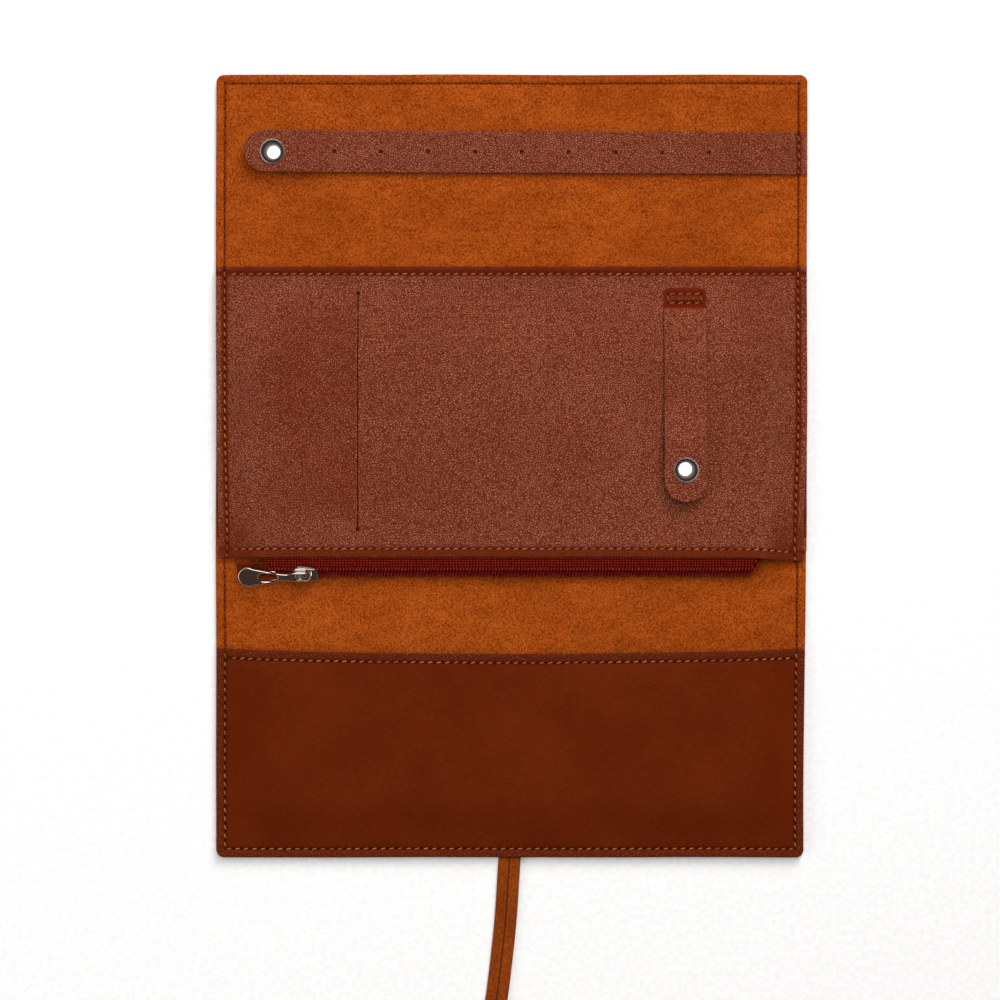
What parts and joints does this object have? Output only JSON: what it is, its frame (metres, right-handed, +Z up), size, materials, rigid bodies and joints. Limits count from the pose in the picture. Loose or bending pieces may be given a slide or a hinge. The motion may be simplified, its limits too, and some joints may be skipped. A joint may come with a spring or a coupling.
{
  "type": "leather jewellery case",
  "caption": "Trifold leather jewellery case laid open: suede-lined shell, zip pouch, slit and open pockets, snap straps for earrings and necklaces, and a wrap-around tie.",
  "frame": {"origin": "under the middle of the open case, on the surface it lies on", "axes": "+Z up out of the lining, +Y towards the upper section along the case's length, +X to the right"},
  "size_m": [0.229, 0.4747, 0.0166],
  "materials": {
    "shell_leather": "smooth, satin",
    "suede_lining": "napped suede, matte",
    "pebbled_leather": "pebble grain, semi-gloss",
    "pocket_leather": "smooth, matte",
    "zip_tape": "woven, matte",
    "zip_coil": "satin nylon",
    "nickel": "polished",
    "tie_suede": "napped suede, matte"
  },
  "bodies": {
    "middle_section": {"shell_middle": "shell_leather", "lining_middle": "suede_lining", "pouch_front_panel": "pebbled_leather", "slit_pocket_lining": "pocket_leather", "pouch_back_panel": "suede_lining", "zip_tape_upper": "zip_tape", "zip_tape_lower": "zip_tape", "zip_coil_upper": "zip_coil", "zip_coil_lower": "zip_coil", "zip_stop": "nickel", "zip_end_tab": "pebbled_leather", "keeper_strap_sewn_end": "pebbled_leather", "keeper_snap_stud": "nickel", "keeper_snap_eyelet": "nickel"},
    "upper_spine": {"shell_upper_spine": "shell_leather", "lining_upper_spine": "suede_lining"},
    "upper_section": {"shell_upper": "shell_leather", "lining_upper": "suede_lining", "earring_strap_sewn_end": "pebbled_leather", "earring_snap_stud": "nickel", "earring_snap_eyelet": "nickel"},
    "lower_spine": {"shell_lower_spine": "shell_leather", "lining_lower_spine": "suede_lining"},
    "lower_section": {"shell_lower": "shell_leather", "lining_lower": "suede_lining", "lower_pocket_panel": "pocket_leather", "tie_strap": "tie_suede", "tie_coil": "tie_suede"},
    "earring_strap": {"earring_strap": "pebbled_leather", "earring_snap_cap": "nickel", "earring_snap_socket": "nickel"},
    "keeper_strap": {"keeper_strap": "pebbled_leather", "keeper_snap_cap": "nickel", "keeper_snap_socket": "nickel"},
    "zip_slider": {"zip_slider": "nickel"},
    "zip_pull": {"zip_pull": "nickel"}
  },
  "joints": [
    {"name": "upper_fold_inner", "type": "hinge", "parent": "middle_section", "child": "upper_spine", "pos_m": [0, 0.078, 0.0026], "axis": [1, 0, 0], "range_deg": [0, 90]},
    {"name": "upper_fold_outer", "type": "hinge", "parent": "upper_spine", "child": "upper_section", "pos_m": [0, 0.0921, 0.0026], "axis": [1, 0, 0], "range_deg": [0, 90]},
    {"name": "lower_fold_inner", "type": "hinge", "parent": "middle_section", "child": "lower_spine", "pos_m": [0, -0.0476, 0.0026], "axis": [-1, 0, 0], "range_deg": [0, 90]},
    {"name": "lower_fold_outer", "type": "hinge", "parent": "lower_spine", "child": "lower_section", "pos_m": [0, -0.07015, 0.0026], "axis": [-1, 0, 0], "range_deg": [0, 90]},
    {"name": "earring_strap_lift", "type": "hinge", "parent": "upper_section", "child": "earring_strap", "pos_m": [0.108, 0.1213, 0.00415], "axis": [0, -1, 0], "range_deg": [-160, 0]},
    {"name": "keeper_strap_lift", "type": "hinge", "parent": "middle_section", "child": "keeper_strap", "pos_m": [0.0668, 0.061, 0.01006], "axis": [1, 0, 0], "range_deg": [-160, 0]},
    {"name": "zip_slide", "type": "slide", "parent": "middle_section", "child": "zip_slider", "axis": [1, 0, 0], "range_m": [0, 0.165]},
    {"name": "zip_pull_swing", "type": "hinge", "parent": "zip_slider", "child": "zip_pull", "pos_m": [-0.0795, -0.04282, 0.00856], "axis": [0, -0.8192, -0.5736], "range_deg": [-165, 0]}
  ],
  "couplings": [
    {"joint": "upper_fold_outer", "follows": "upper_fold_inner", "ratio": 1},
    {"joint": "lower_fold_outer", "follows": "lower_fold_inner", "ratio": 1}
  ]
}
